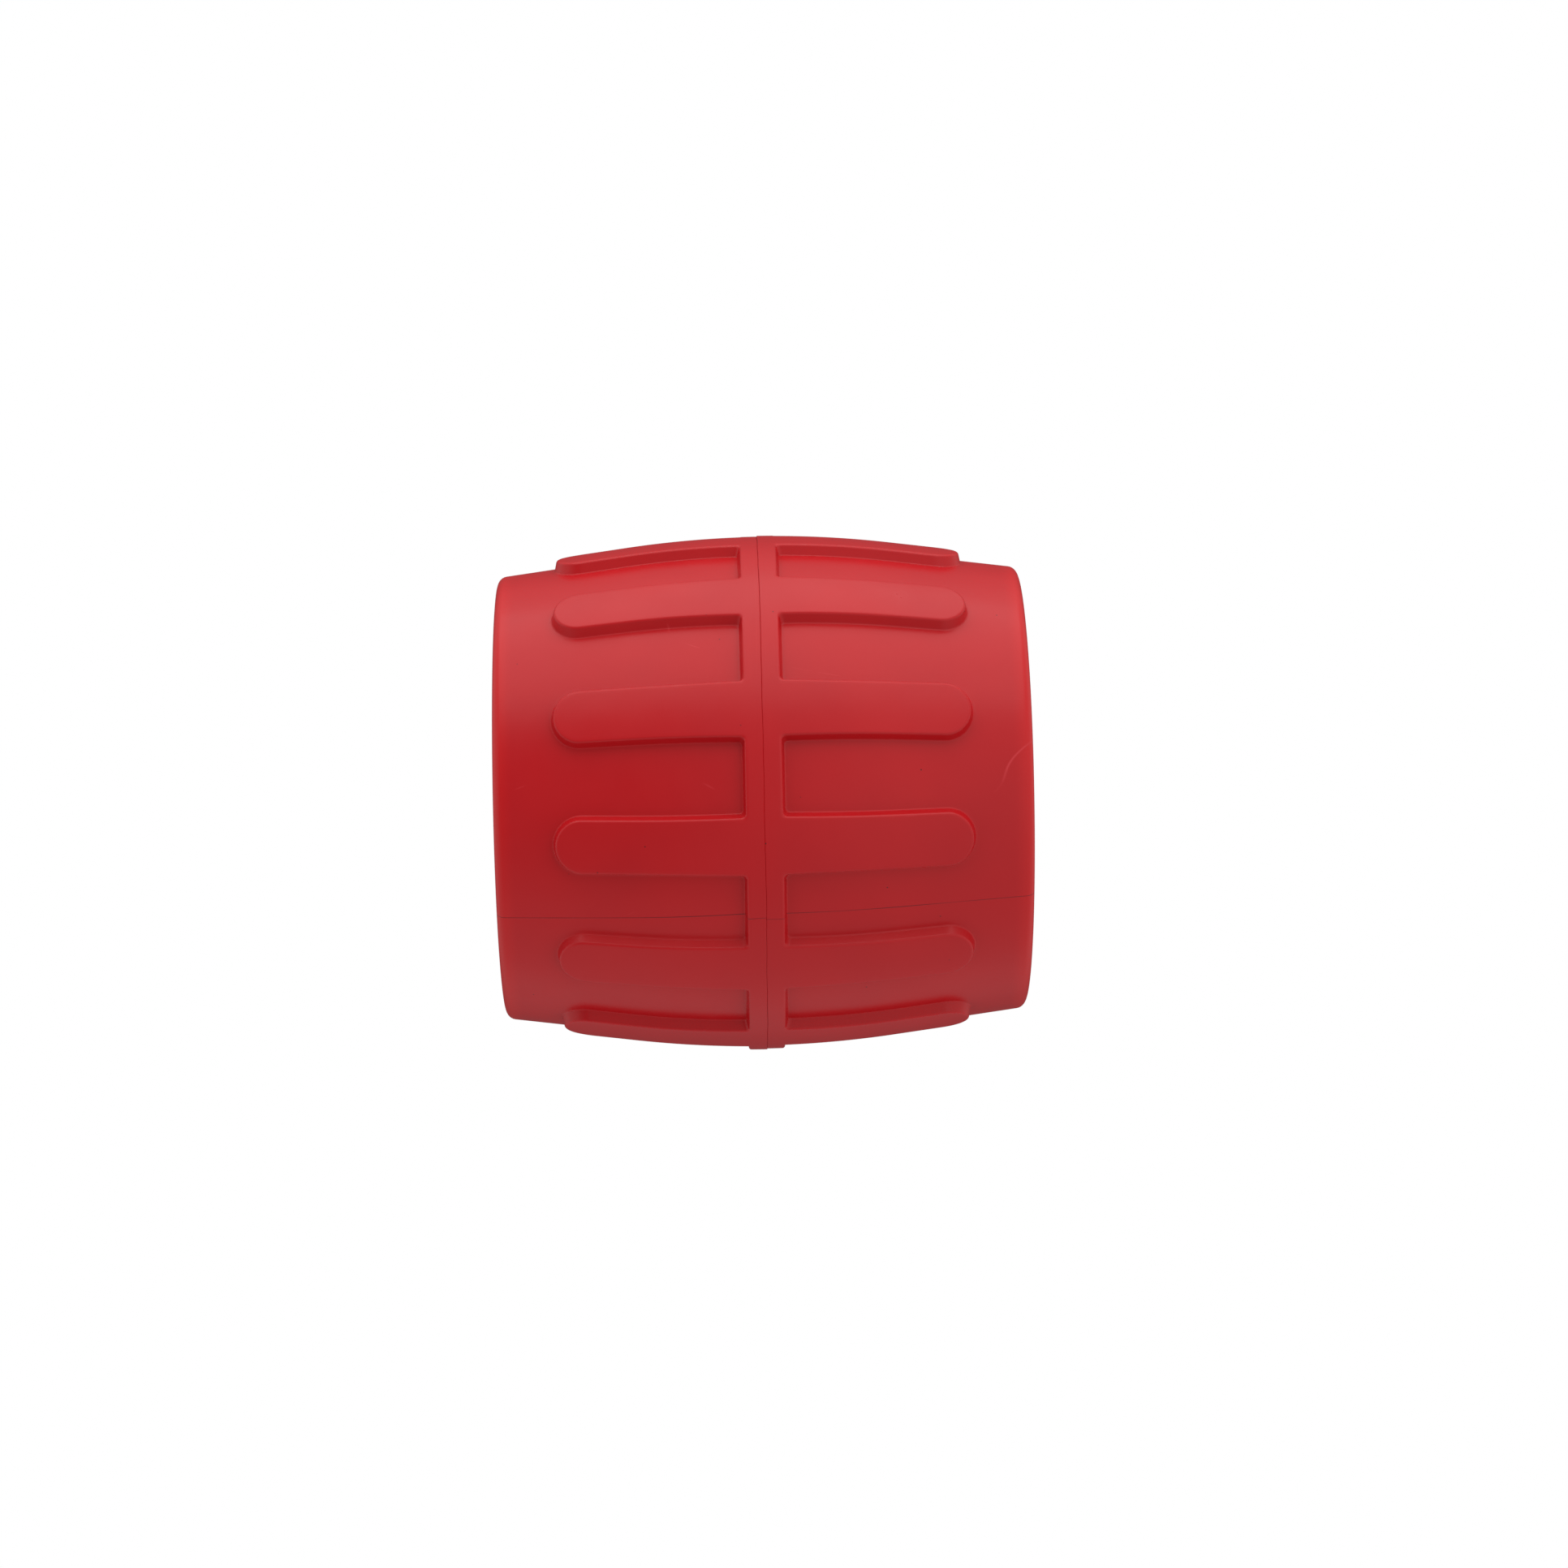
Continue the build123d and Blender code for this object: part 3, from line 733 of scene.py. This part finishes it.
# Joint ring. A plain hoop cut from extruded red polyethylene sheet, which lines the halves up and backs
# the weld. It has the saw's and the extruder's fine lines, and no polish.
def finish_node(
    node, name, dark, light, rough_low, rough_high, grain_size, grain_height, stretch=(1, 1, 1), **base
):
    """Gives a node a material whose colour, shine and fine relief vary: cloudy over ten grains, and
    grained over one, both drawn out along an axis where stretch is under 1."""
    material, tree, shader = new_material(name, light, rough_high, **base)
    place = add_node(tree, "ShaderNodeTexCoord").outputs["Object"]
    drawn_out = add_node(tree, "ShaderNodeMapping", Vector=place, Scale=stretch)
    cloud = add_node(
        tree, "ShaderNodeTexNoise", Vector=drawn_out.outputs[0], Scale=0.1 / grain_size, Detail=3.0
    )
    colour = add_node(
        tree,
        "ShaderNodeMix",
        {"data_type": "RGBA"},
        i0=cloud.outputs["Fac"],
        i6=linear(dark),
        i7=linear(light),
    )
    tree.links.new(colour.outputs[2], shader.inputs["Base Color"])
    grain = add_node(
        tree, "ShaderNodeTexNoise", Vector=drawn_out.outputs[0], Scale=1 / grain_size, Detail=2.0
    )
    shine = add_node(
        tree,
        "ShaderNodeMapRange",
        Value=grain.outputs["Fac"],
        From_Min=0.3,
        From_Max=0.7,
        To_Min=rough_low,
        To_Max=rough_high,
    )
    tree.links.new(shine.outputs["Result"], shader.inputs["Roughness"])
    relief = add_node(
        tree, "ShaderNodeBump", Strength=1.0, Distance=grain_height, Height=grain.outputs["Fac"]
    )
    tree.links.new(relief.outputs["Normal"], shader.inputs["Normal"])
    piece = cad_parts[node]
    piece.data.materials.clear()
    piece.data.materials.append(material)


# Extruded polyethylene: duller and flatter than the moulding, with faint lines round the hoop
finish_node(
    "joint_ring",
    "extruded_red_polyethylene",
    "#A5141A",
    "#B61A20",
    0.45,
    0.58,
    3 * mm,
    0.06 * mm,
    (0.3, 0.3, 3),
)

# Post pipe. A length of drawn grey PVC pressure pipe, cut square, which the drum's two collars slide over.
# Drawn PVC is smooth and a little waxy, with long faint streaks from the die.
finish_node(
    "post_pipe", "drawn_grey_pvc", "#5A5D61", "#6A6D71", 0.30, 0.42, 2 * mm, 0.04 * mm, (3, 3, 0.06)
)

# Pipe seals. Two O-rings of black nitrile rubber, nipped between the collars and the pipe.
# Moulded rubber is a soft matt black, greyer where it has a bloom.
for node in ("upper_pipe_seal", "lower_pipe_seal"):
    finish_node(
        node, "moulded_nitrile_rubber", "#1B1B1C", "#2A2A2B", 0.62, 0.80, 0.8 * mm, 0.03 * mm, ior=1.52
    )

# Bushes. Flanged wear rings of black acetal, turned from bar, screwed to the collars at both ends of the
# post's bore. Turned acetal is slick, with fine rings where the tool passed and a slight wear polish.
for node in ("upper_bush", "lower_bush"):
    finish_node(
        node, "turned_black_acetal", "#1E1F21", "#2B2C2F", 0.26, 0.44, 1.6 * mm, 0.05 * mm, ior=1.48
    )

# Bush screws. Eight pan-head steel screws with a zinc coat and a hexagon socket, four at each end.
# Bright zinc is a cool pale grey with a faint blue passivation and small cloudy spangles.
for node in ("upper_bush_screws", "lower_bush_screws"):
    finish_node(
        node, "zinc_plated_steel", "#A9AEB4", "#C6CACD", 0.24, 0.40, 0.9 * mm, 0.02 * mm, metallic=1
    )

# Filler neck. A black polyethylene fitting, injection moulded with its thread and welded into the floor.
# The tool was spark-eroded, which leaves an even fine grain and a dull shine.
finish_node(
    "filler_neck", "moulded_black_polyethylene", "#1F2022", "#2D2E31", 0.40, 0.56, 1.2 * mm, 0.05 * mm
)

# Cap gasket. A flat ring stamped from black EPDM sheet, carried in the cap.
# Calendered rubber sheet is matt, with a faint cloth-like grain.
finish_node(
    "cap_gasket", "stamped_epdm_sheet", "#1A1A1A", "#282828", 0.66, 0.82, 0.9 * mm, 0.03 * mm, ior=1.52
)

# Filler cap. A screw cap of black polypropylene with a fluted skirt and a bar across its top.
# The tool's spark-eroded grain is a little coarser than the neck's, and hands have polished its edges.
finish_node(
    "filler_cap",
    "moulded_black_polypropylene",
    "#202124",
    "#303236",
    0.36,
    0.54,
    1.4 * mm,
    0.06 * mm,
    ior=1.49,
)

# Drain socket. A small flanged bush of the same black polyethylene, welded into the lower half's boss.
# It has the same even, fine-grained, dull shine as the neck.
finish_node(
    "drain_socket", "moulded_black_polyethylene", "#1F2022", "#2D2E31", 0.40, 0.56, 1.2 * mm, 0.05 * mm
)

# Drain washer. A flat ring stamped from the same EPDM sheet, under the plug's head.
# It is matt black, and a little rough where the punch sheared its edge.
finish_node(
    "drain_washer", "stamped_epdm_sheet", "#1A1A1A", "#282828", 0.66, 0.82, 0.9 * mm, 0.03 * mm, ior=1.52
)

# Drain plug. A hollow threaded plug of black polypropylene with a bar across its head.
# It is moulded like the cap, with the same grained shine.
finish_node(
    "drain_plug",
    "moulded_black_polypropylene",
    "#202124",
    "#303236",
    0.36,
    0.54,
    1.4 * mm,
    0.06 * mm,
    ior=1.49,
)

# Studio. A plain white room and floor. The camera is rolled a quarter turn, so the standing drum looks
# as if it lay on its side, and one large softbox lights its -X side, which the camera sees uppermost.
scene = bpy.context.scene
scene.view_settings.view_transform = "Standard"
room_sides = 0.95
room_behind = 0.12
room_left_of_camera = 0.2
room_right_of_camera = 1.0
room_below = 0.72
softbox_power = 22
softbox_size = 2600 * mm
softbox_distance = 2000 * mm
softbox_lean = radians(18)
camera_angle = radians(-86.5)
toward_camera = Vector((cos(camera_angle), sin(camera_angle), 0))
drum_axis = Vector((0, 0, 1))
view_up = toward_camera.cross(drum_axis)
yaw = 0.0140
roll = 0.0201
distance = 5269 * mm
aside = 26.1 * mm
above = 10.0 * mm
sensor_width = 36
lens = 103.4
floor_radius = 1500 * mm
backdrop_radius = 14000 * mm
camera = bpy.data.objects.new("camera", bpy.data.cameras.new("camera"))
scene.collection.objects.link(camera)
scene.camera = camera
tilt = Matrix.Rotation(yaw, 3, "Y") @ Matrix.Rotation(roll, 3, "Z")
turn = Matrix((drum_axis, view_up, toward_camera)).transposed() @ tilt.transposed()
right, up, back = turn.col[0], turn.col[1], turn.col[2]
drum_middle = Vector((0, 0, half_height))
camera.rotation_mode = "QUATERNION"
camera.rotation_quaternion = turn.to_quaternion()
camera.location = drum_middle + right * aside + up * above + back * distance
camera.data.sensor_width = sensor_width
camera.data.lens = lens
camera.data.clip_end = 100

# The room is darker beside the camera than round the drum, and a little darker on the softbox's far side
world = bpy.data.worlds.new("studio")
world.use_nodes = True
scene.world = world
tree = world.node_tree
way = add_node(tree, "ShaderNodeTexCoord").outputs["Generated"]
facing = add_node(tree, "ShaderNodeVectorMath", {"operation": "DOT_PRODUCT"}, i0=way, i1=toward_camera)
along = add_node(tree, "ShaderNodeVectorMath", {"operation": "DOT_PRODUCT"}, i0=way, i1=drum_axis)
beside_camera = add_node(
    tree,
    "ShaderNodeMapRange",
    Value=along.outputs["Value"],
    From_Min=-0.3,
    From_Max=0.3,
    To_Min=room_left_of_camera,
    To_Max=room_right_of_camera,
)
level = add_node(
    tree,
    "ShaderNodeMapRange",
    {"interpolation_type": "SMOOTHSTEP"},
    Value=facing.outputs["Value"],
    From_Min=0.35,
    From_Max=1.0,
    To_Min=room_sides,
    To_Max=beside_camera.outputs["Result"],
)
behind = add_node(
    tree,
    "ShaderNodeMapRange",
    {"interpolation_type": "SMOOTHSTEP"},
    Value=facing.outputs["Value"],
    From_Min=-0.95,
    From_Max=-0.25,
    To_Min=room_behind,
    To_Max=1.0,
)
upward = add_node(tree, "ShaderNodeVectorMath", {"operation": "DOT_PRODUCT"}, i0=way, i1=view_up)
shade = add_node(
    tree,
    "ShaderNodeMapRange",
    Value=upward.outputs["Value"],
    From_Min=-1.0,
    From_Max=0.0,
    To_Min=room_below,
    To_Max=1.0,
)
shaded = add_node(
    tree,
    "ShaderNodeMath",
    {"operation": "MULTIPLY"},
    i0=level.outputs["Result"],
    i1=shade.outputs["Result"],
)
strength = add_node(
    tree, "ShaderNodeMath", {"operation": "MULTIPLY"}, i0=shaded.outputs[0], i1=behind.outputs["Result"]
)
background = tree.nodes["Background"]
background.inputs["Color"].default_value = (1, 1, 1, 1)
tree.links.new(strength.outputs[0], background.inputs["Strength"])

softbox = bpy.data.objects.new("overhead_softbox", bpy.data.lights.new("overhead_softbox", "AREA"))
scene.collection.objects.link(softbox)
softbox.data.shape = "SQUARE"
softbox.data.size = softbox_size
softbox.data.energy = softbox_power
softbox_way = Matrix.Rotation(softbox_lean, 3, drum_axis) @ view_up
softbox.location = drum_middle + softbox_way * softbox_distance
softbox.rotation_mode = "QUATERNION"
softbox.rotation_quaternion = softbox_way.to_track_quat("Z", "Y")

# Paper that glows white to the camera alone, so that it neither lights the drum nor shows in its shine
white = bpy.data.materials.new("white_paper")
white.use_nodes = True
paper = white.node_tree.nodes["Principled BSDF"]
paper.inputs["Base Color"].default_value = (0, 0, 0, 1)
paper.inputs["Specular IOR Level"].default_value = 0
paper.inputs["Emission Color"].default_value = (1, 1, 1, 1)
paper.inputs["Emission Strength"].default_value = 1.0
bm = bmesh.new()
bmesh.ops.create_circle(bm, cap_ends=True, segments=128, radius=floor_radius)
floor = made_piece("floor", bm)
bm = bmesh.new()
bmesh.ops.create_icosphere(bm, subdivisions=4, radius=backdrop_radius)
backdrop = made_piece("backdrop", bm)
for surface in (floor, backdrop):
    surface.data.materials.append(white)
    surface.visible_diffuse = False
    surface.visible_glossy = False
    surface.visible_transmission = False
    surface.visible_volume_scatter = False
    surface.visible_shadow = False
